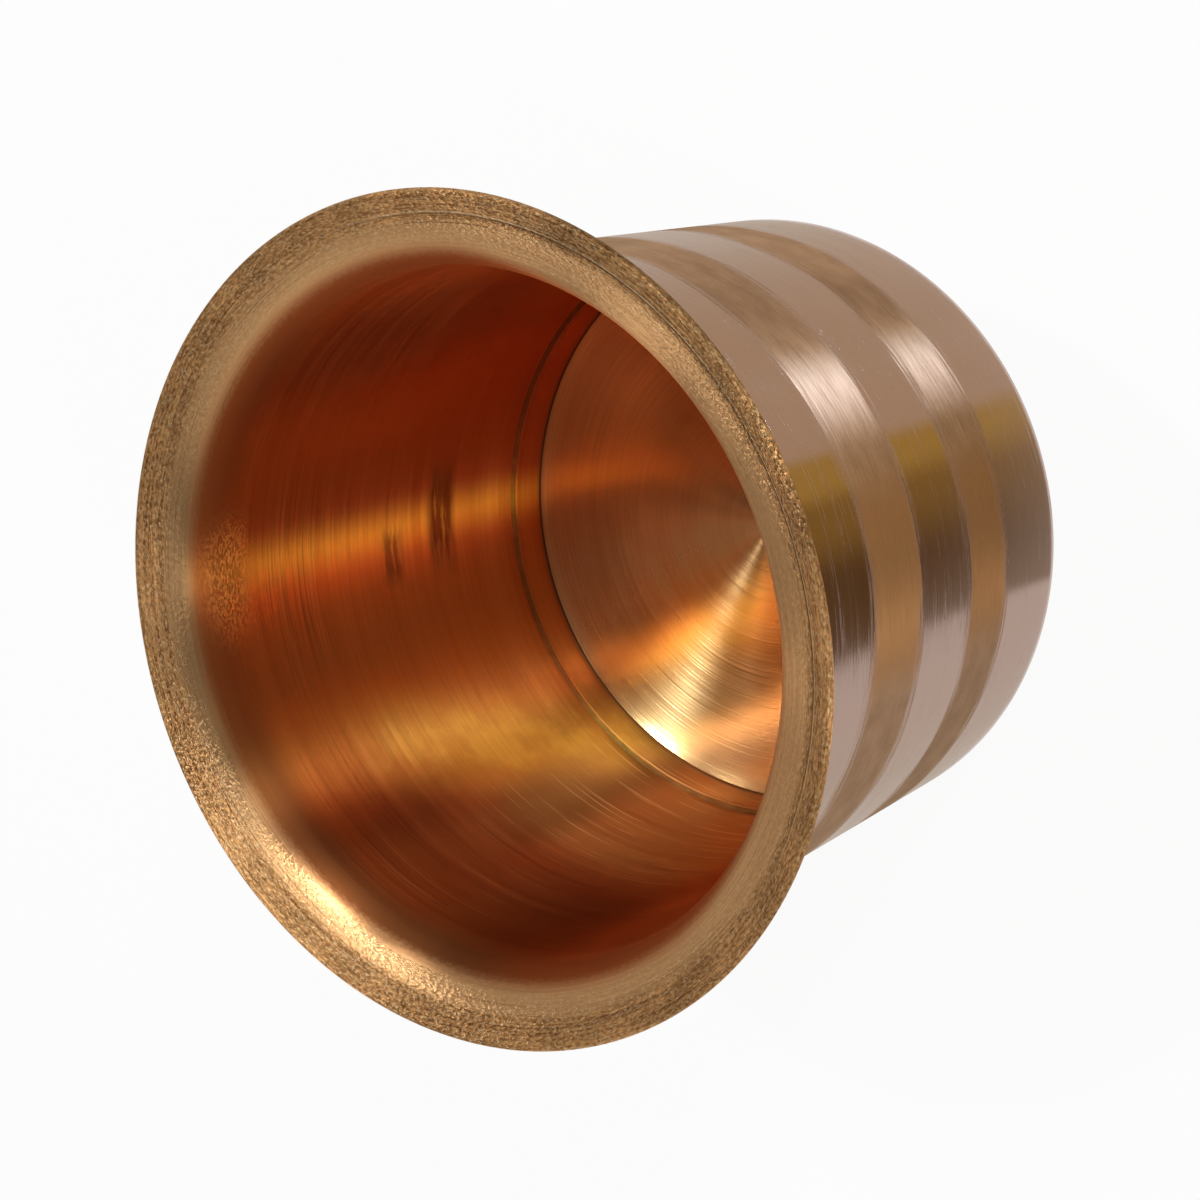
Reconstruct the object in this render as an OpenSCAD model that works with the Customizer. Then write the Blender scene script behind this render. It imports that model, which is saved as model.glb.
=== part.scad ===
// Panchpatra: a copper cup for offering water, spun from sheet, with a flared lip
// and a flat floor that is let in as a shallow pan and brazed.
// Sizes are in millimetres. The cup stands on its base at the origin, its axis along +Z.

/* [Wall] */
// Height from the base to the top of the lip
cup_h = 56; // [35:1:90]
// Outer diameter of the wall where the lip starts to bend out
neck_d = 64.2; // [45:0.2:95]
// Outer diameter of the wall at the base
base_d = 63.4; // [45:0.2:95]
// Thickness of the wall sheet
wall_t = 0.8; // [0.5:0.05:1.5]
// Rounding of the wall's lower outside edge
base_edge_r = 0.25; // [0.05:0.05:0.4]

/* [Lip] */
// Radius of the bend from the wall into the lip, on the mouth side
lip_bend_r = 2.5; // [1.8:0.1:6]
// Rise of the lip's face above level, in degrees
lip_face_angle = 24; // [5:1:45]
// Radial width of the lip's face, from the bend to the crease
lip_face_w = 2.9; // [1:0.1:6]
// Rise of the turned-up edge band above level, in degrees
lip_edge_angle = 32; // [10:1:60]
// Radial width of the edge band, from the crease to the outer edge
lip_edge_w = 2.3; // [1.6:0.1:5]

/* [Floor pan] */
// Thickness of the floor
floor_t = 0.8; // [0.5:0.05:2]
// Height of the pan's flange above the floor
flange_h = 4.4; // [2:0.1:10]
// Thickness of the flange, which is hammered thinner than the floor
flange_t = 0.5; // [0.3:0.05:1]
// Outside bend radius between floor and flange
pan_corner_r = 0.7; // [0.4:0.05:1.2]
// Inside corner radius between floor and flange
floor_corner_r = 0.25; // [0.05:0.05:0.6]

/* [Braze] */
// Clearance between flange and wall that the braze metal fills
braze_gap = 0.15; // [0.1:0.01:0.3]
// Width of the braze fillet that lies on the flange's top edge
braze_foot = 0.3; // [0.1:0.05:0.5]
// Height of the braze fillet against the wall
braze_rise = 0.35; // [0.1:0.05:1]

/* [Hidden] */
$fn = 180;
arc_steps = 14;
// Level at which the faced base cuts into the pan's outside bend, as an angle on that bend
faced_angle = -60;

neck_r = neck_d / 2;
base_r = base_d / 2;
under_bend_r = lip_bend_r - wall_t;
edge_r = wall_t / 2;

// The lip, from the bend outwards
bend_r = neck_r + under_bend_r;
face_start_r = bend_r - lip_bend_r * sin(lip_face_angle);
crease_r = face_start_r + lip_face_w;
mouth_r = crease_r + lip_edge_w;

// The lip's heights, from the outer edge inwards
edge_centre = [mouth_r - edge_r, cup_h - edge_r];
edge_top = edge_centre + edge_r * [-sin(lip_edge_angle), cos(lip_edge_angle)];
crease_z = edge_top[1] - (edge_top[0] - crease_r) * tan(lip_edge_angle);
face_start_z = crease_z - lip_face_w * tan(lip_face_angle);
bend_z = face_start_z - lip_bend_r * cos(lip_face_angle);
bend_centre = [bend_r, bend_z];

// Lean of the wall, from the line that leaves the base and meets the bend as a tangent
bend_way = bend_centre - [base_r, 0];
wall_lean = atan2(bend_way[0], bend_way[1]) - asin(under_bend_r / norm(bend_way));

// The crease on the lip's underside, where the two offset sheets meet
crease_mean = (lip_face_angle + lip_edge_angle) / 2;
crease_reach = wall_t / cos((lip_edge_angle - lip_face_angle) / 2);
under_crease = [crease_r, crease_z] + crease_reach * [sin(crease_mean), -cos(crease_mean)];

flange_top = floor_t + flange_h;
corner_z = -pan_corner_r * sin(faced_angle);

// Inside radius of the wall, and the flange's two faces, at a height
function wall_in(z) = base_r - wall_t / cos(wall_lean) + z * tan(wall_lean);
function flange_out(z) = wall_in(z) - braze_gap;
function flange_in(z) = flange_out(z) - flange_t;

function arc(centre, r, from, to) =
    [for (i = [0 : arc_steps]) let (a = from + (to - from) * i / arc_steps) centre + r * [cos(a), sin(a)]];

// The pan's outside bend, from the faced base up to the flange
function pan_bend() = arc([flange_out(corner_z) - pan_corner_r, corner_z], pan_corner_r, faced_angle, 0);

// Wall and lip: one sheet, spun in one piece
module cup_wall() {
    color("peru")
        rotate_extrude()
            polygon(concat(
                arc([base_r - base_edge_r, base_edge_r], base_edge_r, -90, 0),
                arc(bend_centre, under_bend_r, 180 - wall_lean, 90 + lip_face_angle),
                [under_crease],
                arc(edge_centre, edge_r, lip_edge_angle - 90, lip_edge_angle + 90),
                [[crease_r, crease_z]],
                arc(bend_centre, lip_bend_r, 90 + lip_face_angle, 180 - wall_lean),
                [[wall_in(0), 0]]
            ));
}

// Floor: a disc with its rim turned up, lapped inside the foot of the wall
module floor_pan() {
    inside_corner = [flange_in(floor_t) - floor_corner_r, floor_t + floor_corner_r];
    color("goldenrod")
        rotate_extrude()
            polygon(concat(
                [[0, 0]],
                pan_bend(),
                [[flange_out(flange_top), flange_top], [flange_in(flange_top), flange_top]],
                arc(inside_corner, floor_corner_r, 0, -90),
                [[0, floor_t]]
            ));
}

// Braze metal: drawn through the lap, with a fillet on the flange and a ring in the base
module braze_seam() {
    fillet_top = flange_top + braze_rise;
    foot = min(braze_foot, flange_t);
    color("saddlebrown")
        rotate_extrude()
            polygon(concat(
                [[wall_in(0), 0], [wall_in(fillet_top), fillet_top]],
                [[flange_out(flange_top) - foot, flange_top], [flange_out(flange_top), flange_top]],
                [for (i = [arc_steps : -1 : 0]) pan_bend()[i]]
            ));
}

cup_wall();
floor_pan();
braze_seam();
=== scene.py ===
# %% [markdown]
# A panchpatra is a small copper cup that holds water for offerings. This one is spun from sheet on a
# lathe: a wall with a flared lip, a floor let in as a shallow pan, and a ring of braze that joins them.
# The lesson loads the measured solids first. Everything that follows is made around them, in metres,
# in the same frame: the cup stands on the origin with its axis along +Z.

# %% Load the frame
import math

import bpy
import numpy as np
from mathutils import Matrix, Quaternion, Vector


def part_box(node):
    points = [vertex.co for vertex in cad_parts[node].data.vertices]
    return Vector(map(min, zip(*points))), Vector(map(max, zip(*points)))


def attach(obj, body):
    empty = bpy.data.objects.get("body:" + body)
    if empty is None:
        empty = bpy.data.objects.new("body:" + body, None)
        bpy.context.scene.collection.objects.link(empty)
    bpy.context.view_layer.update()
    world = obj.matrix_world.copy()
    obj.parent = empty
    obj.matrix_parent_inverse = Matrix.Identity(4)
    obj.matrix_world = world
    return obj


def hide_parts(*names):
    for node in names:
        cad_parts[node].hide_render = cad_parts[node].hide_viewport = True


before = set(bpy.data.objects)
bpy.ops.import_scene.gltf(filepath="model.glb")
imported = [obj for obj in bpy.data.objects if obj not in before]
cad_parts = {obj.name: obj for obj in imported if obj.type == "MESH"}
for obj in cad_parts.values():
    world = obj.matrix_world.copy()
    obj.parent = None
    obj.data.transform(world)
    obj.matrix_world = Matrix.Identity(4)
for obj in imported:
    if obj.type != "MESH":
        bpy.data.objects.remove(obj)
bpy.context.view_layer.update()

print("solids:", sorted(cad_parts))

# %% [markdown]
# The sizes come from the solids where they can be measured there: the height, the mouth and the pan.
# The rest are the maker's own sizes, such as the sheet's thickness and the angles of the lip. All of
# them are in millimetres, because that is how a spinner would write them down.

# %% Sizes of the cup
MM = 0.001
wall_low, wall_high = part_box("cup_wall")
cup_h = wall_high.z / MM
mouth_r = (wall_high.x - wall_low.x) / 2 / MM
flange_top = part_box("floor_pan")[1].z / MM
braze_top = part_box("braze_seam")[1].z / MM
wall_t = 0.8
base_r = 31.7
base_edge_r = 0.25
lip_bend_r = 2.5
lip_face_angle = math.radians(24)
lip_face_w = 2.9
lip_edge_angle = math.radians(32)
lip_edge_w = 2.3
floor_t = 0.8
flange_t = 0.5
pan_corner_r = 0.7
floor_corner_r = 0.25
braze_gap = 0.15
braze_foot = 0.3
faced_angle = math.radians(-60)
print(f"height {cup_h:.2f} mm, mouth {2 * mouth_r:.2f} mm, rim of the pan at {flange_top:.2f} mm")

# %% [markdown]
# The camera looks down into the cup from close by and is rolled far over, so the mouth faces left and
# down in the picture. A camera could be turned by hand until it fits. Here it is built the way a
# photographer would say it: how steeply it looks down, how far it is rolled, and what it aims at.

# %% Camera
look_down = math.radians(52.81)
look_aside = math.radians(-0.744)
camera_roll = math.radians(-109.256)
camera_aim = Vector((-1.688, -0.022, 33.552)) * MM
camera_distance = 214.96 * MM
lens_mm = 68.427
film_mm = 36
nearest_seen = 0.01
ahead = Vector((
    math.sin(look_aside) * math.cos(look_down),
    math.cos(look_aside) * math.cos(look_down),
    -math.sin(look_down),
))
bpy.ops.object.camera_add(location=camera_aim - ahead * camera_distance)
camera = bpy.context.object
camera.name = "camera"
camera.rotation_mode = "QUATERNION"
camera.rotation_quaternion = ahead.to_track_quat("-Z", "Y") @ Quaternion((0, 0, 1), camera_roll)
camera.data.lens = lens_mm
camera.data.sensor_width = film_mm
camera.data.clip_start = nearest_seen
bpy.context.scene.camera = camera
print("camera at", [round(c / MM, 1) for c in camera.location], "mm")

# %% [markdown]
# Every piece of this cup is a body of revolution, so each is modelled as it is made: a profile is drawn
# and turned all the way round. The profile is put together from straight runs and arcs. A run can carry
# relief, the shallow ridges that a lathe tool leaves, which are too low to see as shape but draw out
# every reflection.

# %% Profile helpers
ARC_STEP = 0.12
FEWEST_ARC_STEPS = 4
SAME_POINT = 1e-4


def arc(centre, radius, start, end):
    """Points on an arc in the plane of radius and height, in mm."""
    count = max(FEWEST_ARC_STEPS, math.ceil(radius * abs(end - start) / ARC_STEP))
    angles = [start + (end - start) * i / count for i in range(count + 1)]
    return [(centre[0] + radius * math.cos(a), centre[1] + radius * math.sin(a)) for a in angles]


def run(start, end, step, relief=None):
    """Points on a straight run, pushed to its right by relief, a function of the distance in mm."""
    across, up = end[0] - start[0], end[1] - start[1]
    length = math.hypot(across, up)
    count = max(1, round(length / step))
    points = []
    for i in range(count + 1):
        along = i / count
        push = relief(along * length) / length if relief else 0
        points.append((start[0] + across * along + push * up, start[1] + up * along - push * across))
    return points


def chain_of(stretches):
    """One chain of points from named stretches, each point's distance along it, and where each ends."""
    chain = []
    along = []
    ends = {}
    for name, points in stretches.items():
        for point in points:
            gap = math.dist(point, chain[-1]) if chain else 0
            if chain and gap < SAME_POINT:
                continue
            along.append(along[-1] + gap if chain else 0)
            chain.append(point)
        ends[name] = along[-1]
    return chain, along, ends


print(f"a quarter turn of 2 mm radius has {len(arc((0, 0), 2, 0, math.pi / 2))} points")

# %% [markdown]
# Three kinds of relief are needed. A tool that is moved by hand leaves ridges of no one pitch, so a few
# waves are added that never fall in step. A scribed line is one narrow groove. A floor that was pressed
# in curls up a little towards its edge.

# %% Relief helpers
WAVE_OFFSET = 2.4


def tool_ridges(pitches, height):
    """Relief left by a tool: waves of a few pitches, in mm."""
    def relief(along):
        waves = [math.sin(2 * math.pi * along / pitch + WAVE_OFFSET * i) for i, pitch in enumerate(pitches)]
        return height * sum(waves) / len(waves)
    return relief


def scribed_line(at, width, depth):
    """Relief of one line scribed into a run, in mm."""
    return lambda along: -depth * max(0.0, 1 - abs(along - at) / width)


def dished(width, height, ridges):
    """Relief of a floor that curls up towards its edge, where the run starts, in mm."""
    return lambda along: ridges(along) + height * max(0.0, 1 - along / width) ** 2


print(f"a line scribed 0.03 mm deep is {scribed_line(1, 0.2, 0.03)(1):.2f} mm high at its middle")

# %% [markdown]
# Brushed metal needs a map that follows the surface: the turn runs along U and the way along the profile
# along V. Unwrapping by seams would give almost the same, but here both numbers are known, so they are
# filled in. The map tells the finish where on the profile a point is, and keeps the brush marks straight
# if the finish is baked. A face that crosses the start of the turn or of the profile is moved past 1, so it
# doesn't smear.

# %% Lay the map
MAP_NAME = "OFBake"
HALF_WAY = 0.5


def lay_map(mesh, total):
    """Fills a map with the turn along U and the share of the profile along V."""
    place = np.empty(len(mesh.vertices) * 3)
    mesh.vertices.foreach_get("co", place)
    x, y, _ = place.reshape(-1, 3).T
    along = np.empty(len(mesh.vertices))
    mesh.attributes["along"].data.foreach_get("value", along)
    corner = np.empty(len(mesh.loops), int)
    mesh.loops.foreach_get("vertex_index", corner)
    first = np.empty(len(mesh.polygons), int)
    mesh.polygons.foreach_get("loop_start", first)
    face = np.repeat(np.arange(len(first)), np.diff(np.append(first, len(corner))))
    turn = (np.arctan2(x, -y) / (2 * np.pi) % 1)[corner]
    share = (along / total)[corner]
    for value in (turn, share):
        crosses = np.maximum.reduceat(value, first) - np.minimum.reduceat(value, first) > HALF_WAY
        value += crosses[face] & (value < HALF_WAY)
    layer = mesh.uv_layers.new(name=MAP_NAME)
    layer.uv.foreach_set("vector", np.stack([turn, share], 1).ravel())


print("map:", MAP_NAME)

# %% [markdown]
# In Blender the profile is a chain of points, grown from a single point by extruding it again and again.
# Edit mode's Spin could turn it, but the Screw modifier with no rise does the same and also carries each
# point's distance along the profile round with it. The doubled points where the turn closes are merged,
# and then the faces are made to point outwards.

# %% Turn a profile
TURN_STEPS = 256
MERGE_WITHIN = 1e-7
SHARP_ANGLE = math.radians(35)


def grow_chain(name, chain):
    """A chain of edges through (radius, height) points in mm, in the plane of X and Z."""
    bpy.ops.object.select_all(action="DESELECT")
    bpy.ops.mesh.primitive_plane_add(size=MM)
    piece = bpy.context.object
    piece.name = name
    piece.data.name = name
    bpy.ops.object.mode_set(mode="EDIT")
    bpy.ops.mesh.select_all(action="SELECT")
    bpy.ops.mesh.merge(type="CENTER")
    bpy.ops.object.mode_set(mode="OBJECT")
    bpy.ops.object.mode_set(mode="EDIT")
    bpy.ops.mesh.select_all(action="SELECT")
    bpy.ops.transform.translate(value=(chain[0][0] * MM, 0, chain[0][1] * MM))
    for here, after in zip(chain, chain[1:]):
        step = ((after[0] - here[0]) * MM, 0, (after[1] - here[1]) * MM)
        bpy.ops.mesh.extrude_region_move(TRANSFORM_OT_translate={"value": step})
    bpy.ops.object.mode_set(mode="OBJECT")
    return piece


def spun(name, chain, along):
    """A body of revolution from a chain of (radius, height) points in mm."""
    piece = grow_chain(name, chain)
    piece.data.attributes.new("along", "FLOAT", "POINT").data.foreach_set("value", along)
    bpy.ops.object.modifier_add(type="SCREW")
    lathe = piece.modifiers[-1]
    lathe.angle = 2 * math.pi
    lathe.steps = TURN_STEPS
    lathe.render_steps = TURN_STEPS
    lathe.use_merge_vertices = True
    lathe.merge_threshold = MERGE_WITHIN
    bpy.ops.object.modifier_apply(modifier=lathe.name)
    bpy.ops.object.mode_set(mode="EDIT")
    bpy.ops.mesh.select_all(action="SELECT")
    bpy.ops.mesh.remove_doubles(threshold=MERGE_WITHIN)
    bpy.ops.mesh.normals_make_consistent(inside=False)
    bpy.ops.object.mode_set(mode="OBJECT")
    bpy.ops.object.shade_smooth_by_angle(angle=SHARP_ANGLE)
    while piece.data.uv_layers:
        piece.data.uv_layers.remove(piece.data.uv_layers[0])
    lay_map(piece.data, along[-1])
    print(f"{name}: {len(chain)} points, {len(piece.data.polygons)} faces")
    return piece


print(f"one step of the turn is {360 / TURN_STEPS:.2f} degrees")

# %% [markdown]
# The cup wall is one sheet. Its profile goes up the outside, round the outer edge of the lip, over the
# lip's band and face, and down the inside. The lip is laid out from the mouth inwards, and the wall leans
# so that it meets the lip's bend without a kink.

# %% Lip and wall, laid out
under_bend_r = lip_bend_r - wall_t
edge_r = wall_t / 2
crease_r = mouth_r - lip_edge_w
face_start_r = crease_r - lip_face_w
bend_r = face_start_r + lip_bend_r * math.sin(lip_face_angle)
edge_centre = (mouth_r - edge_r, cup_h - edge_r)
outer_edge = arc(edge_centre, edge_r, lip_edge_angle - math.pi / 2, lip_edge_angle + math.pi / 2)
edge_top = outer_edge[-1]
crease = (crease_r, edge_top[1] - (edge_top[0] - crease_r) * math.tan(lip_edge_angle))
face_start_z = crease[1] - lip_face_w * math.tan(lip_face_angle)
bend_centre = (bend_r, face_start_z - lip_bend_r * math.cos(lip_face_angle))
bend_way = (bend_r - base_r, bend_centre[1])
wall_lean = math.atan2(*bend_way) - math.asin(under_bend_r / math.hypot(*bend_way))
crease_mean = (lip_face_angle + lip_edge_angle) / 2
crease_reach = wall_t / math.cos((lip_edge_angle - lip_face_angle) / 2)
under_crease = (
    crease_r + crease_reach * math.sin(crease_mean),
    crease[1] - crease_reach * math.cos(crease_mean),
)


def wall_in(z):
    """Inside radius of the wall at a height, in mm."""
    return base_r - wall_t / math.cos(wall_lean) + z * math.tan(wall_lean)


print(f"wall leans {math.degrees(wall_lean):.2f} degrees, crease at {crease_r:.2f} mm")

# %% [markdown]
# The stretches of the wall's profile have steps of their own. The inside is stepped finely, because its
# ridges comb every streak of light, and so is the lip's band, where a line is scribed beside the crease.

# %% Cup wall
FOOT_STEP = 0.2
OUTSIDE_STEP = 0.5
BAND_STEP = 0.12
INSIDE_STEP = 0.3
SCRIBE_INSET = 0.25
SCRIBE_WIDTH = 0.14
SCRIBE_DEPTH = 0.03
outside_ridges = tool_ridges((1.3, 2.9, 5.3), 0.0015)
inside_ridges = tool_ridges((0.9, 1.7, 3.1, 7.3), 0.004)
scribe = scribed_line(math.dist(edge_top, crease) - SCRIBE_INSET, SCRIBE_WIDTH, SCRIBE_DEPTH)
under_bend = arc(bend_centre, under_bend_r, math.pi - wall_lean, math.pi / 2 + lip_face_angle)
mouth_bend = arc(bend_centre, lip_bend_r, math.pi / 2 + lip_face_angle, math.pi - wall_lean)
base_round = arc((base_r - base_edge_r, base_edge_r), base_edge_r, -math.pi / 2, 0)
wall_foot = (wall_in(0), 0)
wall_chain, wall_along, wall_end = chain_of({
    "foot": run(wall_foot, base_round[0], FOOT_STEP),
    "base_round": base_round,
    "outside": run(base_round[-1], under_bend[0], OUTSIDE_STEP, outside_ridges),
    "under_bend": under_bend,
    "under_face": run(under_bend[-1], under_crease, OUTSIDE_STEP),
    "under_band": run(under_crease, outer_edge[0], OUTSIDE_STEP),
    "outer_edge": outer_edge,
    "lip_band": run(edge_top, crease, BAND_STEP, scribe),
    "lip_face": run(crease, mouth_bend[0], INSIDE_STEP),
    "mouth_bend": mouth_bend,
    "inside": run(mouth_bend[-1], wall_foot, INSIDE_STEP, inside_ridges),
})
cup_wall = spun("spun_cup_wall", wall_chain, wall_along)

# %% [markdown]
# The floor is a disc with its rim turned up, lapped inside the foot of the wall. It is faced on the lathe,
# so its top carries fine turned rings. Its profile starts under the cup's middle, goes out along the
# underside, up the lap and over the rim, and comes back along the floor to the axis.

# %% Floor pan
UNDERSIDE_STEP = 1.2
LAP_STEP = 0.6
RIM_STEP = 0.1
FLANGE_STEP = 0.3
FLOOR_STEP = 0.22
FLOOR_CURL_W = 2.2
FLOOR_CURL_H = 0.3


def flange_out(z):
    """Outside radius of the pan's rim at a height, in mm."""
    return wall_in(z) - braze_gap


def flange_in(z):
    """Inside radius of the pan's rim at a height, in mm."""
    return flange_out(z) - flange_t


floor_relief = dished(FLOOR_CURL_W, FLOOR_CURL_H, tool_ridges((0.8, 1.9, 4.7), 0.003))
corner_z = -pan_corner_r * math.sin(faced_angle)
pan_bend = arc((flange_out(corner_z) - pan_corner_r, corner_z), pan_corner_r, faced_angle, 0)
floor_corner_at = (flange_in(floor_t) - floor_corner_r, floor_t + floor_corner_r)
floor_corner = arc(floor_corner_at, floor_corner_r, 0, -math.pi / 2)
floor_centre = (0, floor_t)
rim_out = (flange_out(flange_top), flange_top)
rim_in = (flange_in(flange_top), flange_top)
pan_chain, pan_along, pan_end = chain_of({
    "underside": run((0, 0), pan_bend[0], UNDERSIDE_STEP),
    "bend": pan_bend,
    "lap": run(pan_bend[-1], rim_out, LAP_STEP),
    "rim": run(rim_out, rim_in, RIM_STEP),
    "flange": run(rim_in, floor_corner[0], FLANGE_STEP),
    "corner": floor_corner,
    "floor": run(floor_corner[-1], floor_centre, FLOOR_STEP, floor_relief)[:-1],
    "centre": [floor_centre],
})
floor_pan = spun("turned_floor_pan", pan_chain, pan_along)

# %% [markdown]
# The braze is metal that was drawn into the lap while it was hot. It shows as a thin fillet on top of the
# rim and as a hairline ring under the base. Its profile borrows the faces of the wall and the pan, so it
# fills the gap between them exactly, and the fillet sags like any liquid that has set.

# %% Braze ring
WALL_SIDE_STEP = 0.3
FILLET_STEP = 0.05
FILLET_SAG = 0.06
fillet_top = (wall_in(braze_top), braze_top)
fillet_toe = (rim_out[0] - braze_foot, flange_top)
fillet_sag = tool_ridges((2 * math.dist(fillet_top, fillet_toe),), -FILLET_SAG)
braze_chain, braze_along, _ = chain_of({
    "wall_side": run(wall_foot, fillet_top, WALL_SIDE_STEP),
    "fillet": run(fillet_top, fillet_toe, FILLET_STEP, fillet_sag),
    "rim": run(fillet_toe, rim_out, RIM_STEP),
    "lap": run(rim_out, pan_bend[-1], LAP_STEP),
    "bend": pan_bend[::-1],
    "base": run(pan_bend[0], wall_foot, RIM_STEP),
})
braze_ring = spun("braze_ring", braze_chain, braze_along)

# %% [markdown]
# Materials are graphs of nodes, and the sums in them are easier to read as sums. This small class wraps
# one output of a node. Python's operators on it add Math nodes, and its node method adds any other node:
# its settings are set first, then its inputs are filled with numbers or linked.

# %% Shader sums


class Wire:
    """An output of a shader node that can be reckoned with."""

    def __init__(self, tree, socket=None):
        self.tree = tree
        self.socket = socket

    def node(self, kind, settings=None, inputs=None, output=0):
        """Adds a node and gives one of its outputs."""
        made = self.tree.nodes.new(kind)
        for name, value in (settings or {}).items():
            setattr(made, name, value)
        for name, value in (inputs or {}).items():
            if isinstance(value, Wire):
                self.tree.links.new(value.socket, made.inputs[name])
            else:
                made.inputs[name].default_value = value
        return Wire(self.tree, made.outputs[output]) if made.outputs else None

    def math(self, operation, first, second=0.0):
        return self.node("ShaderNodeMath", {"operation": operation}, {0: first, 1: second})

    def __add__(self, other):
        return self.math("ADD", self, other)

    def __radd__(self, other):
        return self.math("ADD", other, self)

    def __sub__(self, other):
        return self.math("SUBTRACT", self, other)

    def __rsub__(self, other):
        return self.math("SUBTRACT", other, self)

    def __mul__(self, other):
        return self.math("MULTIPLY", self, other)

    def __rmul__(self, other):
        return self.math("MULTIPLY", other, self)

    def __truediv__(self, other):
        return self.math("DIVIDE", self, other)

    def most(self, other):
        """The larger of this and another."""
        return self.math("MAXIMUM", self, other)

    def rise(self, low, high):
        """0 below low, 1 above high, and a smooth rise between."""
        return self.node(
            "ShaderNodeMapRange",
            {"interpolation_type": "SMOOTHSTEP"},
            {"Value": self, "From Min": low, "From Max": high},
        )

    def band(self, low, high, soft):
        """1 between low and high, with soft edges."""
        return self.rise(low - soft, low + soft) * (1 - self.rise(high - soft, high + soft))

    def mix(self, low, high):
        """Colour low where this is 0, colour high where it is 1."""
        return self.node("ShaderNodeMix", {"data_type": "RGBA"}, {0: self, 6: low, 7: high}, output=2)

    def scaled(self, factor):
        """This colour or vector times a number."""
        return self.node("ShaderNodeVectorMath", {"operation": "SCALE"}, {0: self, "Scale": factor})


def colour(red, green, blue):
    return (red, green, blue, 1.0)


WHITE = colour(1, 1, 1)
print("colours are linear, white is", WHITE)

# %% [markdown]
# Each finish starts from the same few wires: where the point is in millimetres, how far round the cup it
# is in degrees, and how far along the profile. Turn 0 is the side that faces the camera, and turns grow
# towards +X. Brush marks are noise that is stretched round the cup, and its contrast is then raised. A
# patch is a place on the wall, by its turns and its heights, each with a soft edge.

# %% Start a finish
DEGREES = 180 / math.pi
FULL_TURN = 360.0
NOISE_ROUGHNESS = 0.55
ACROSS_THE_MARKS = 0.25


class Surface:
    """A new material on a piece, with the wires that its finish is drawn from."""

    def __init__(self, name, piece, length):
        self.material = bpy.data.materials.new(name)
        self.material.use_nodes = True
        self.material.node_tree.nodes.clear()
        piece.data.materials.clear()
        piece.data.materials.append(self.material)
        self.wire = Wire(self.material.node_tree)
        metres = self.wire.node("ShaderNodeTexCoord", output="Object")
        self.place = metres.scaled(1 / MM)
        parts = self.wire.node("ShaderNodeSeparateXYZ", inputs={0: self.place})
        outputs = parts.socket.node.outputs
        self.x, self.y, self.z = [Wire(self.wire.tree, output) for output in outputs]
        self.near_turn = self.wire.math("ARCTAN2", self.x, self.y * -1) * DEGREES
        self.turn = self.wire.math("FLOORED_MODULO", self.near_turn, FULL_TURN)
        mapped = self.wire.node("ShaderNodeUVMap", {"uv_map": MAP_NAME})
        share = self.wire.node("ShaderNodeSeparateXYZ", inputs={0: mapped}, output="Y")
        self.along = share * length

    def noise(self, vector, detail):
        return self.wire.node("ShaderNodeTexNoise", inputs={
            "Vector": vector,
            "Scale": 1.0,
            "Detail": detail,
            "Roughness": NOISE_ROUGHNESS,
        })

    def strokes(self, around, across, detail=2.0, low=0.32, high=0.68):
        """Brush marks from 0 to 1: long round the cup, thin across it, in mm."""
        vector = self.wire.node("ShaderNodeCombineXYZ", inputs={
            "X": self.x / around,
            "Y": self.y / around,
            "Z": self.along / across,
        })
        return self.noise(vector, detail).rise(low, high)

    def blotches(self, size, detail=3.0, low=0.3, high=0.7):
        """Cloudy stains from 0 to 1, about size mm across."""
        return self.noise(self.place.scaled(1 / size), detail).rise(low, high)

    def patch(self, turns, turn_soft, heights, height_soft):
        """1 on a patch of the wall, by its turns in degrees and its heights in mm."""
        return self.turn.band(*turns, turn_soft) * self.z.band(*heights, height_soft)

    def finish(self, tint, roughness, height, metallic=1.0):
        """Feeds a metal shader that is brushed round the cup. Height is a relief in mm."""
        normal = self.wire.node("ShaderNodeBump", inputs={
            "Strength": 1.0,
            "Distance": MM,
            "Height": height,
        })
        metal = self.wire.node("ShaderNodeBsdfPrincipled", inputs={
            "Base Color": tint,
            "Metallic": metallic,
            "Roughness": roughness,
            "Anisotropic": 1.0,
            "Anisotropic Rotation": ACROSS_THE_MARKS,
            "Normal": normal,
        })
        self.wire.node("ShaderNodeOutputMaterial", inputs={"Surface": metal})
        print(f"{self.material.name}: {len(self.material.node_tree.nodes)} nodes")


print(f"{FULL_TURN:.0f} degrees of turn, from the side that faces the camera")

# %% [markdown]
# The inside of the cup is raw copper, and no two parts of it have quite the same colour: it goes from
# ruddy to warm round the cup, and it is scoured pale low down on one side. Two stretches are tinted amber
# and gold along the lamps' streaks, as painted highlight, and the wall round the gold is painted darker in
# places, as painted shade. The colours could be painted on. Bands of turn and height do it with a few
# numbers, and stay sharp at any size.

# %% Raw copper of the inside
RAW_DARK = colour(0.56, 0.115, 0.03)
RAW_LIGHT = colour(0.67, 0.165, 0.042)
RUDDY_SIDE = colour(0.78, 0.195, 0.042)
WARM_SIDE = colour(0.85, 0.285, 0.065)
SCOURED = colour(0.68, 0.28, 0.075)
AMBER_PAINTED_HIGHLIGHT = colour(0.97, 0.44, 0.05)
GOLD = colour(1.0, 0.58, 0.11)
MOUTH_RED = colour(0.55, 0.10, 0.015)


def scoured_side(surface):
    """1 low on the side that is scoured most."""
    return surface.turn.band(214.0, 262.0, 8.0) * (1 - surface.z.rise(22.0, 34.0))


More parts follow.
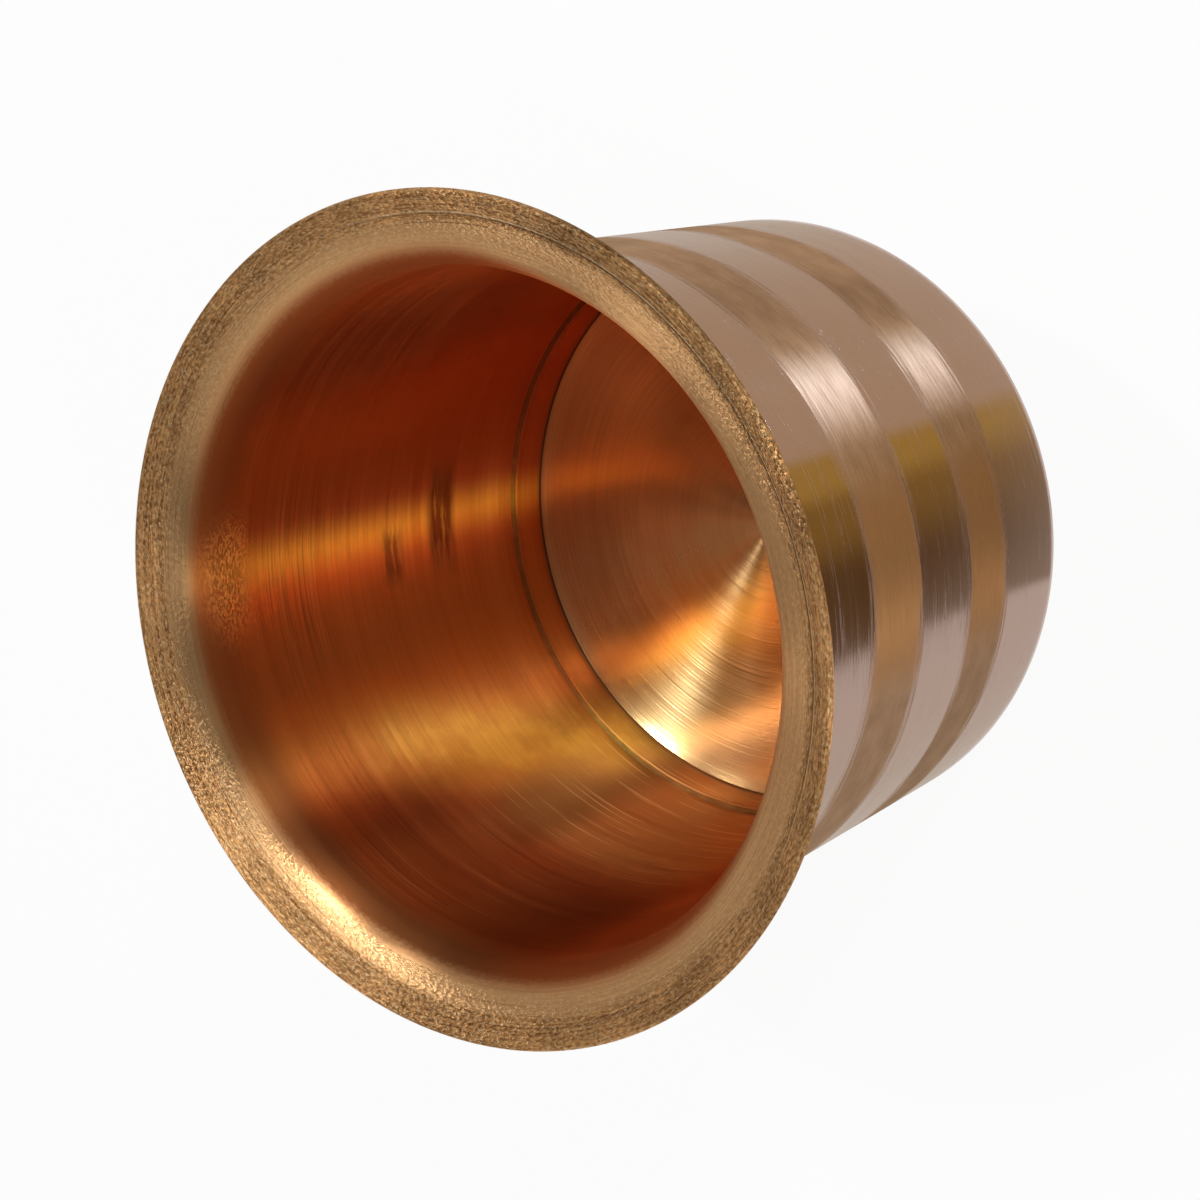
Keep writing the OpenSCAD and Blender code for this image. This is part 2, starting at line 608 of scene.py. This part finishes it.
def raw_copper(surface):
    """Colour of the inside before its marks and stains, with painted highlight on the streaks and painted
    shade beside them.
    """
    raw = surface.blotches(14.0).mix(RAW_DARK, RAW_LIGHT)
    raw = surface.turn.band(130.0, 150.0, 8.0).mix(raw, RUDDY_SIDE)
    raw = surface.turn.band(163.0, 198.0, 10.0).mix(raw, WARM_SIDE)
    raw = scoured_side(surface).mix(raw, SCOURED)
    # Painted highlight: an amber stretch along the streak of the front left lamp.
    raw = surface.turn.band(153.5, 160.5, 4.0).mix(raw, AMBER_PAINTED_HIGHLIGHT)
    # Painted highlight: a gold stretch along the streak of the front right lamp, leaning with it.
    leaning = surface.turn + 0.5 * surface.z
    golden = leaning.band(206.0, 223.0, 7.0) * (1 - 0.75 * surface.z.rise(26.0, 44.0))
    golden = golden * (0.7 + 0.3 * surface.blotches(5.0, low=0.4, high=0.6))
    raw = golden.mix(raw, GOLD)
    raw = (0.4 * surface.z.rise(34.0, 50.0)).mix(raw, MOUTH_RED)
    # Painted shade: darker high up between turns 207 and 262, and beside the gold stretch lower down.
    upper_painted_shade = surface.turn.band(207.0, 262.0, 6.0) * surface.z.rise(26.0, 36.0)
    lower_painted_shade = surface.turn.band(213.0, 228.0, 4.0) * (1 - upper_painted_shade)
    return raw.scaled(1 - 0.4 * upper_painted_shade).scaled(1 - 0.4 * lower_painted_shade)


print("raw copper: from", RAW_DARK[:3], "to", GOLD[:3])

# %% [markdown]
# Water has left a smudge of tarnish on the far side, with a smaller blotch beside it, and a few dark rings
# show nearer to the mouth. Tarnish spreads along the brush marks, so noise that is stretched the same way
# frays the edges of each patch.

# %% Stains of the inside
TARNISH = colour(0.20, 0.038, 0.007)


def stains(surface):
    """Tarnish from 0 to 1."""
    ragged = surface.strokes(5.0, 0.9, detail=4.0, low=0.3, high=0.55)
    smudge = surface.patch((148.0, 166.0), 5.0, (15.8, 19.9), 0.8) * (0.45 + 0.55 * ragged)
    blotch = surface.patch((157.5, 167.0), 2.5, (24.6, 27.6), 0.9) * ragged
    ring_marks = surface.strokes(14.0, 0.3, low=0.48, high=0.64)
    dark_rings = surface.patch((146.0, 176.0), 10.0, (37.0, 46.0), 2.0) * ring_marks
    return (smudge * 0.98).most(blotch * 0.75).most(dark_rings * 0.45)


print("tarnish:", TARNISH[:3])

# %% [markdown]
# The inside is brushed round and round with a coarse grit. The marks turn the reflection of a lamp into a
# streak up the wall, and each mark is a little rougher or smoother than the next, so the streak has a
# combed edge. The rim of the floor pan and the braze have the same finish as the wall, so this one
# function serves all three.

# %% Brushed inside
SCRATCH_PAINTED_GLINT = colour(1.0, 0.63, 0.24)


def brushed_inside(surface):
    """Colour, roughness and relief in mm of the inside."""
    broad = surface.strokes(60.0, 1.3, detail=4.0)
    fine = surface.strokes(22.0, 0.2, detail=3.0)
    scratch = surface.strokes(14.0, 0.2, low=0.62, high=0.69) * (0.1 + 0.9 * scoured_side(surface))
    stain = stains(surface)
    tint = raw_copper(surface).scaled(0.89 + 0.04 * broad + 0.10 * fine)
    tint = stain.mix(tint, TARNISH)
    # The scratches are real; their bright tint is also a painted glint.
    tint = (scratch * 0.8).mix(tint, SCRATCH_PAINTED_GLINT)
    rough = 0.32 + 0.035 * broad + 0.05 * fine + 0.12 * stain
    relief = 0.0012 * broad + 0.003 * fine + 0.012 * scratch
    return tint, rough, relief


print("a fresh scratch:", SCRATCH_PAINTED_GLINT[:3])

# %% [markdown]
# One material covers the whole sheet of the wall, because it is one piece of metal. Masks that read the
# way along the profile say which finish a point has: outside, lip or inside. The edges of the dull bands
# outside are a little ragged, as a hand-held brush leaves them.

# %% Where each finish of the wall lies
DULL_BANDS = ((11.0, 18.9), (28.6, 37.8))
DULL_SOFT = 0.8
FRAY = 1.3
band_end = wall_end["lip_band"]
face_end = wall_end["lip_face"]
bend_end = wall_end["mouth_bend"]
under_end = wall_end["under_band"]
wall = Surface("banded_copper", cup_wall, wall_along[-1])
grains = wall.strokes(0.5, 0.24, detail=3.0)
near_side = 1 - wall.y.rise(-30.0, -10.0)
lip_reach = wall.along + 0.3 * grains - 1.8 * near_side
inside = lip_reach.rise(face_end - 0.9, face_end + 1.2)
outside = 1 - wall.along.rise(under_end - 0.4, under_end + 0.1)
on_lip = (1 - outside) * (1 - inside)
on_band = on_lip * (1 - wall.along.rise(band_end, band_end + 1.0))
torn = on_lip * (1 - 0.65 * wall.along.rise(band_end + 0.3, face_end - 0.4))
frayed_z = wall.z + FRAY * wall.strokes(9.0, 0.4, detail=3.0) - FRAY / 2
dull = sum((frayed_z.band(low, high, DULL_SOFT) for low, high in DULL_BANDS), start=0.0) * outside
print(f"lip from {under_end:.1f} to {face_end:.1f} mm along the profile, dull bands at {DULL_BANDS} mm")

# %% [markdown]
# Outside, three bands are polished and two are brushed dull. Polish is a low roughness with a few fine
# cuts left in it. The dull bands are rougher and a little less metallic, because brushed copper soon
# carries a film. They are painted browner on the near side, as painted shade, and paler in one place, as
# a painted highlight.

# %% Outside of the wall
POLISHED = colour(0.545, 0.40, 0.345)
BRUSHED_DARK = colour(0.36, 0.205, 0.11)
BRUSHED_LIGHT = colour(0.54, 0.33, 0.19)
BRUSHED_PAINTED_SHADE = colour(0.47, 0.23, 0.085)
DULL_PAINTED_HIGHLIGHT = colour(0.84, 0.64, 0.53)
polish_marks = wall.strokes(9.0, 0.3, detail=3.0)
polish_cuts = wall.strokes(9.0, 0.17, low=0.6, high=0.7)
dull_marks = wall.strokes(4.0, 0.22, detail=3.0)
dull_clouds = wall.blotches(3.0, detail=4.0)
# Painted highlight: a paler tint where a lamp glints on the dull bands.
painted_highlight = wall.near_turn.band(11.0, 22.0, 5.0) * (0.6 + 0.4 * dull_marks)
brushed = (0.5 * dull_marks + 0.5 * dull_clouds).mix(BRUSHED_DARK, BRUSHED_LIGHT)
# Painted shade: browner on the near side.
brushed = wall.near_turn.band(-30.0, 1.0, 6.0).mix(brushed, BRUSHED_PAINTED_SHADE)
brushed = painted_highlight.mix(brushed, DULL_PAINTED_HIGHLIGHT)
brushed = brushed.scaled(0.94 + 0.06 * wall.z.rise(20.0, 27.0))
outside_tint = dull.mix(POLISHED, brushed)
outside_rough = 0.12 + 0.05 * polish_marks + dull * (0.27 + 0.10 * dull_marks)
outside_relief = 0.005 * polish_marks - 0.012 * polish_cuts + dull * 0.018 * dull_marks
outside_metal = 1 - 0.25 * dull
print("outside: polished", POLISHED[:3], "brushed", BRUSHED_DARK[:3], "to", BRUSHED_LIGHT[:3])

# %% [markdown]
# The lip is satin on its face and grainy on its band, where the spinning tool has torn the surface into
# fine specks. Some specks are painted bright, as painted glints, and long cuts run through them. The
# scribed line has a painted highlight on one edge and painted shade on the other, and they are painted
# clearest on the near side.

# %% Colour of the lip
FACE_DARK = colour(0.62, 0.33, 0.14)
FACE_LIGHT = colour(0.84, 0.49, 0.22)
BAND_DARK = colour(0.24, 0.095, 0.028)
BAND_LIGHT = colour(0.94, 0.52, 0.21)
CUT_DARK = colour(0.20, 0.08, 0.025)
PAINTED_GLINT = colour(1.0, 0.78, 0.45)
SCRIBE_PAINTED_HIGHLIGHT = colour(1.0, 0.80, 0.50)
SCRIBE_PAINTED_SHADE = colour(0.16, 0.06, 0.02)
SCRIBE_HIGHLIGHT_W = 0.16
SCRIBE_SHADE_W = 0.20
SCRIBE_SOFT = 0.05
lip_patches = wall.blotches(5.0)
lip_marks = wall.strokes(14.0, 0.2, detail=3.0)
lip_cuts = wall.strokes(20.0, 0.14, low=0.6, high=0.7) * torn
# Painted glints: bright specks on the torn grain.
painted_glints = wall.strokes(0.4, 0.2, low=0.54, high=0.66) * torn
scribe_along = band_end - SCRIBE_INSET
scribe_clear = 0.12 + 0.88 * wall.near_turn.band(-40.0, 78.0, 14.0)
# The scribed line's painted highlight and painted shade.
scribe_highlight = wall.along.band(scribe_along - SCRIBE_HIGHLIGHT_W, scribe_along, SCRIBE_SOFT)
scribe_highlight = scribe_highlight * (0.4 + 0.4 * lip_patches)
scribe_shade = wall.along.band(scribe_along, scribe_along + SCRIBE_SHADE_W, SCRIBE_SOFT)
scribe_shade = scribe_shade * (0.5 + 0.4 * lip_patches)
face_tint = (0.6 * lip_marks + 0.4 * grains).mix(FACE_DARK, FACE_LIGHT)
band_tint = (0.6 * grains + 0.4 * lip_marks).mix(BAND_DARK, BAND_LIGHT)
lip_tint = on_band.mix(face_tint, band_tint.scaled(0.78 + 0.35 * lip_patches))
lip_tint = (lip_cuts * 0.6).mix(lip_tint, CUT_DARK)
lip_tint = (painted_glints * 0.45).mix(lip_tint, PAINTED_GLINT)
lip_tint = (scribe_highlight * scribe_clear).mix(lip_tint, SCRIBE_PAINTED_HIGHLIGHT)
lip_tint = (scribe_shade * scribe_clear).mix(lip_tint, SCRIBE_PAINTED_SHADE)
print(f"scribed line at {scribe_along:.2f} mm along the profile")

# %% [markdown]
# Painted shade darkens the lip in some places, and handling has worn it smoother in one. The painted
# shade is a sum of soft bands of turn, some on the face alone and some stronger on the band.

# %% Painted shade and wear of the lip
WORN_TURNS = (227.0, 245.0)
WORN_SOFT = 5.0
on_face = 1 - on_band
lip_painted_shade = on_face * (0.3 * wall.turn.band(138.0, 178.0, 8.0) + 0.25 * wall.turn.band(184.0, 202.0, 6.0))
lip_painted_shade = lip_painted_shade + (0.38 + 0.25 * on_band) * wall.turn.band(10.0, 54.0, 12.0)
lip_painted_shade = lip_painted_shade + 0.3 * on_band * wall.turn.band(206.0, 246.0, 8.0)
lip_tint = lip_tint.scaled(1 - lip_painted_shade)
worn_lip = on_face * wall.turn.band(*WORN_TURNS, WORN_SOFT)
lip_rough = 0.29 + 0.06 * lip_marks + 0.12 * torn - 0.1 * worn_lip
lip_relief = 0.003 * lip_marks + torn * (0.034 * grains - 0.014 * lip_cuts)
print("lip: worn smooth between the turns", WORN_TURNS)

# %% [markdown]
# Where the lip bends into the cup, the copper is rougher and painted darker, as painted shade, darkest
# on part of the far side. One patch just inside the mouth is torn to specks like the lip's band; its
# specks are painted bright, as painted glints, and the patch round them is painted a little darker. Then
# the three finishes are put together by their masks, and the wall gets its shader.

# %% Finish of the cup wall
BEND_PAINTED_SHADE = colour(0.40, 0.10, 0.028)
BEND_DEEPEST_PAINTED_SHADE = colour(0.17, 0.065, 0.022)
MOUTH_SPECK_GLINT = colour(0.95, 0.38, 0.08)
inside_tint, inside_rough, inside_relief = brushed_inside(wall)
on_bend = wall.along.rise(face_end - 0.9, face_end + 0.3)
on_bend = on_bend * (1 - wall.along.rise(bend_end - 1.2, bend_end + 4.0))
# Painted shade in the bend into the cup, darkest between turns 188 and 250.
bend_painted_shade = wall.turn.band(188.0, 250.0, 10.0).mix(BEND_PAINTED_SHADE, BEND_DEEPEST_PAINTED_SHADE)
specks = wall.strokes(0.45, 0.25, detail=3.0, low=0.38, high=0.6)
mouth_patch = wall.patch((149.0, 167.0), 6.0, (48.0, 52.0), 2.0)
mouth_grain_and_glints = mouth_patch * specks
inside_tint = (on_bend * 0.8).mix(inside_tint, bend_painted_shade)
# Painted darkening of the patch, and painted glints on its specks; the specks' relief is real grain.
inside_tint = inside_tint.scaled(1 - 0.2 * mouth_patch)
inside_tint = (mouth_grain_and_glints * 0.85).mix(inside_tint, MOUTH_SPECK_GLINT)
inside_rough = inside_rough + 0.12 * on_bend
inside_relief = inside_relief + 0.03 * mouth_grain_and_glints
wall.finish(
    inside.mix(outside.mix(lip_tint, outside_tint), inside_tint),
    outside * outside_rough + on_lip * lip_rough + inside * inside_rough,
    outside * outside_relief + on_lip * lip_relief + inside * inside_relief,
    metallic=outside_metal,
)

# %% [markdown]
# The floor is turned on the lathe to a finer finish, so a lamp overhead shows in it as a fan. Each ring that
# the tool left is a little smoother or rougher than its neighbour, and the cuts are deeper away from the
# centre, where the tool moved faster over the metal. The copper goes from red on one side to golden on the
# other, and sectors of it are painted darker or paler, as painted shade and painted light over the
# reflections in it.

# %% Turned floor
FLOOR_RED = colour(0.70, 0.29, 0.095)
FLOOR_GOLD = colour(0.94, 0.69, 0.33)
floor = Surface("turned_copper", floor_pan, pan_along[-1])
rings = floor.strokes(12.0, 0.24, detail=3.0)
broad_rings = floor.strokes(40.0, 1.5)
cuts = floor.strokes(30.0, 0.24)
floor_clouds = floor.blotches(7.0)
from_centre = floor.wire.math("SQRT", floor.x * floor.x + floor.y * floor.y)
outer_part = from_centre.rise(14.0, 23.0)
# Painted shade and painted light in sectors, over the reflections in the floor.
outer_shade = 0.5 * floor.turn.band(194.0, 206.0, 7.0) - 0.2 * floor.turn.band(100.0, 134.0, 12.0)
inner_shade = 0.4 * floor.turn.band(104.0, 134.0, 10.0) + 0.33 * floor.turn.band(214.0, 234.0, 6.0)
inner_shade = inner_shade - 0.45 * floor.turn.band(156.0, 200.0, 10.0)
floor_painted_shade = outer_part * outer_shade + (1 - outer_part) * inner_shade
golden_side = (3.0 + floor_clouds * 2.0 - floor.x).rise(-6.0, 16.0)
floor_tint = golden_side.mix(FLOOR_RED, FLOOR_GOLD)
floor_tint = floor_tint.scaled((0.86 + 0.10 * rings + 0.06 * broad_rings) * (1 - floor_painted_shade))
dull_side = floor.turn.band(40.0, 182.0, 22.0)
floor_rough = 0.16 + 0.05 * from_centre.rise(12.0, 26.0) + 0.02 * rings + 0.02 * broad_rings
floor_rough = floor_rough + 0.18 * dull_side
cut_depth = 0.003 + 0.009 * from_centre.rise(8.0, 24.0)
floor_relief_mm = cut_depth * cuts + 0.002 * broad_rings
print("floor: from", FLOOR_RED[:3], "to", FLOOR_GOLD[:3])

# %% [markdown]
# The rim of the pan is brushed like the wall. The crevice where the floor meets the rim is painted darker,
# as painted shade, and the rim's top edge has a faint dark joint line. The underside is plain faced
# copper, because nothing but a table ever touches it.

# %% Finish of the floor pan
SHADE_AND_JOINT_DARK = colour(0.24, 0.07, 0.022)
FACED_DARK = colour(0.50, 0.27, 0.13)
FACED_LIGHT = colour(0.62, 0.36, 0.19)
flange_end = pan_end["flange"]
corner_end = pan_end["corner"]
underside_end = pan_end["underside"]
rim_tint, rim_rough, rim_relief = brushed_inside(floor)
on_rim = 1 - floor.along.rise(flange_end - 0.2, flange_end + 0.1)
# Painted shade in the crevice where the floor meets the rim; the rim's top edge is a dark joint.
soft_crevice_shade = floor.along.band(flange_end - 0.3, corner_end + 0.3, 0.5)
ledge = floor.along.band(pan_end["lap"] - 0.2, pan_end["rim"] + 0.05, 0.1)
crevice_shade_and_joint = floor.along.band(flange_end - 0.1, corner_end + 0.05, 0.25)
crevice_shade_and_joint = crevice_shade_and_joint.most(soft_crevice_shade * 0.5).most(ledge * 0.25)
underside = 1 - floor.along.rise(underside_end - 0.1, underside_end + 0.1)
faced_tint = (0.5 * rings + 0.5 * floor_clouds).mix(FACED_DARK, FACED_LIGHT)
pan_tint = crevice_shade_and_joint.mix(on_rim.mix(floor_tint, rim_tint), SHADE_AND_JOINT_DARK)
floor.finish(
    underside.mix(pan_tint, faced_tint),
    on_rim * rim_rough + (1 - on_rim) * floor_rough + crevice_shade_and_joint * 0.2,
    on_rim * rim_relief + (1 - on_rim) * floor_relief_mm,
)

# %% [markdown]
# Braze metal is darker than the copper it joins, and cloudy where the flux burnt off. It was brushed with
# the wall, so it starts from the same finish and is darkened and roughened.

# %% Finish of the braze
braze = Surface("braze_metal", braze_ring, braze_along[-1])
braze_tint, braze_rough, braze_relief = brushed_inside(braze)
braze_clouds = braze.blotches(1.5)
braze.finish(
    braze_tint.scaled(0.42 + 0.15 * braze_clouds),
    braze_rough + 0.12 + 0.08 * braze_clouds,
    braze_relief + 0.02 * braze_clouds,
)

# %% [markdown]
# Now each piece is tied to the frame: it rides on the cup's one body and stands for its solid, which is
# hidden.

# %% Tie the pieces to the frame
for piece, node, slot in (
    (cup_wall, "cup_wall", "banded_copper"),
    (floor_pan, "floor_pan", "turned_copper"),
    (braze_ring, "braze_seam", "braze_metal"),
):
    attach(piece, "root")
    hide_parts(node)
    print(piece.name, "stands for", node)

# %% [markdown]
# The stage is a plain white floor. Seen by the camera or in the metal most of it glows, so that it reads as
# white paper, and the rest takes a faint shadow of the cup. It lies a hair below the base, so the two
# faces don't fight for the same place.

# %% Stage floor
PAPER_SIZE = 6
PAPER_DROP = 0.05 * MM
PAPER_GLOW = 0.92
PAPER_GREY = colour(0.86, 0.86, 0.86)
bpy.ops.object.select_all(action="DESELECT")
bpy.ops.mesh.primitive_plane_add(size=PAPER_SIZE, location=(0, 0, -PAPER_DROP))
paper = bpy.context.object
paper.name = "paper_floor"
paper_material = bpy.data.materials.new("white_paper")
paper_material.use_nodes = True
paper_material.node_tree.nodes.clear()
paper.data.materials.append(paper_material)
sheet = Wire(paper_material.node_tree)
ray = sheet.node("ShaderNodeLightPath").socket.node.outputs
seen = Wire(sheet.tree, ray["Is Camera Ray"])
seen = seen + Wire(sheet.tree, ray["Is Glossy Ray"])
seen = sheet.math("MINIMUM", seen + Wire(sheet.tree, ray["Is Transmission Ray"]), 1.0)
lit = sheet.node("ShaderNodeBsdfDiffuse", inputs={"Color": PAPER_GREY})
glow = sheet.node("ShaderNodeEmission", inputs={"Color": WHITE, "Strength": 1.0})
both = sheet.node("ShaderNodeMixShader", inputs={0: seen * PAPER_GLOW, 1: lit, 2: glow})
sheet.node("ShaderNodeOutputMaterial", inputs={"Surface": both})
print("floor:", paper.name)

# %% [markdown]
# Polished metal is a mirror, and what it shows is arranged, as in any studio: a printed card lies round
# the cup's foot. It is white on one side and warm grey on the other, with a dark strip between them that
# fades to olive. Only the metal sees it, so the floor stays white.

# %% Reflector card
CARD_INNER_R = base_r + 0.2
CARD_OUTER_R = 160.0
CARD_LIFT = 0.2
CARD_SIDES = 96
bpy.ops.mesh.primitive_circle_add(
    vertices=CARD_SIDES,
    radius=CARD_INNER_R * MM,
    location=(0, 0, CARD_LIFT * MM),
)
card = bpy.context.object
card.name = "reflector_card"
bpy.ops.object.mode_set(mode="EDIT")
bpy.ops.mesh.select_all(action="SELECT")
bpy.ops.mesh.extrude_region_move(TRANSFORM_OT_translate={"value": (0, 0, 0)})
bpy.ops.transform.resize(value=(CARD_OUTER_R / CARD_INNER_R,) * 3)
bpy.ops.object.mode_set(mode="OBJECT")
card.visible_camera = False
card.visible_diffuse = False
card.visible_shadow = False
print("card:", card.name, "out to", CARD_OUTER_R, "mm")

# %% [markdown]
# The wall mirrors a point of the card at one turn only, so a tint that should appear from a turn onwards
# starts along a line on the card: the line that a ray of light takes when it leaves the wall at that turn.
# Each tint is laid over the last, past its own line. It is listed with its turn in degrees and the width of
# its soft edge in mm. Behind the cup the card turns white.

# %% Print of the card
WARM_GREY = colour(0.73, 0.67, 0.645)
WHITE_FROM_Y = 20.0
WHITE_FULL_Y = 60.0
CARD_TINTS = (
    (-26, 0.6, colour(0.13, 0.07, 0.022)),
    (-8, 7.0, colour(0.30, 0.18, 0.04)),
    (1, 3.0, colour(0.50, 0.33, 0.07)),
    (8, 1.5, colour(0.585, 0.45, 0.31)),
    (50, 20.0, colour(0.68, 0.62, 0.54)),
)
card_material = bpy.data.materials.new("printed_card")
card_material.use_nodes = True
card_material.node_tree.nodes.clear()
card.data.materials.append(card_material)
print_ink = Wire(card_material.node_tree)
card_place = print_ink.node("ShaderNodeTexCoord", output="Object").scaled(1 / MM)


def beyond(turn):
    """How far a point of the card lies past the line that the wall mirrors at a turn, in mm."""
    start = Vector((base_r * math.sin(turn), -base_r * math.cos(turn), 0))
    past = Vector((math.cos(2 * turn), math.sin(2 * turn), 0))
    way = print_ink.node("ShaderNodeVectorMath", {"operation": "SUBTRACT"}, {0: card_place, 1: start})
    return print_ink.node(
        "ShaderNodeVectorMath",
        {"operation": "DOT_PRODUCT"},
        {0: way, 1: past},
        output="Value",
    )


ink = WARM_GREY
for from_turn, soft, tint in CARD_TINTS:
    ink = beyond(math.radians(from_turn)).rise(-soft, soft).mix(ink, tint)
card_y = print_ink.node("ShaderNodeSeparateXYZ", inputs={0: card_place}, output="Y")
ink = card_y.rise(WHITE_FROM_Y, WHITE_FULL_Y).mix(ink, WHITE)
card_glow = print_ink.node("ShaderNodeEmission", inputs={"Color": ink, "Strength": 1.0})
print_ink.node("ShaderNodeOutputMaterial", inputs={"Surface": card_glow})
print("card:", len(CARD_TINTS), "tints over warm grey")

# %% [markdown]
# The lamps are small and soft. Each makes one of the marks that a brushed cup shows: the fan on the floor,
# the streaks up the inside, the glints on the lip and on the dull bands. A wide panel fills the near side
# of the lip. Distances and sizes are in metres, and power is in watts.

# %% Lights


def soft_light(name, toward, distance, size, power, tint=(1.0, 1.0, 1.0)):
    """A square soft light that faces the cup."""
    toward = Vector(toward).normalized()
    centre = Vector((0, 0, cup_h / 2 * MM))
    bpy.ops.object.light_add(type="AREA", location=centre + toward * distance)
    lamp = bpy.context.object
    lamp.name = name
    lamp.rotation_euler = (-toward).to_track_quat("-Z", "Y").to_euler()
    lamp.data.size = size
    lamp.data.energy = power
    lamp.data.color = tint
    print("light:", name, [round(c, 3) for c in lamp.location], "m")


COOL = (0.62, 0.82, 1.0)
soft_light("overhead", (0.36, 0.11, 0.93), distance=0.5, size=0.016, power=0.80)
soft_light("overhead_side", (0.57, 0.20, 0.80), distance=0.5, size=0.05, power=0.15)
soft_light("front_left", (-0.49, -0.60, 0.63), distance=0.5, size=0.05, power=0.32)
soft_light("front_right", (0.38, -0.66, 0.64), distance=0.5, size=0.08, power=0.50)
soft_light("low_right", (0.53, -0.845, 0.087), distance=0.5, size=0.05, power=0.24, tint=COOL)
soft_light("panel", (-0.45, 0.6, 0.66), distance=0.6, size=0.5, power=0.25)

# %% [markdown]
# The world is the rest of the room. It is white near the horizon, like walls of paper, grey above, and
# darker straight overhead, so that the inside of the cup doesn't wash out.

# %% World
ROOM_GREY = colour(0.42, 0.41, 0.40)
CEILING_GREY = colour(0.20, 0.195, 0.19)
world = bpy.data.worlds.new("studio")
bpy.context.scene.world = world
world.use_nodes = True
world.node_tree.nodes.clear()
sky = Wire(world.node_tree)
way_up = sky.node("ShaderNodeSeparateXYZ", inputs={0: sky.node("ShaderNodeTexCoord")}, output="Z")
dome = way_up.rise(0.05, 0.14).mix(WHITE, ROOM_GREY)
dome = way_up.rise(0.885, 0.915).mix(dome, CEILING_GREY)
dome = sky.node("ShaderNodeBackground", inputs={"Color": dome, "Strength": 1.0})
sky.node("ShaderNodeOutputWorld", inputs={"Surface": dome})
bpy.context.scene.view_settings.view_transform = "Standard"
print("world:", world.name)
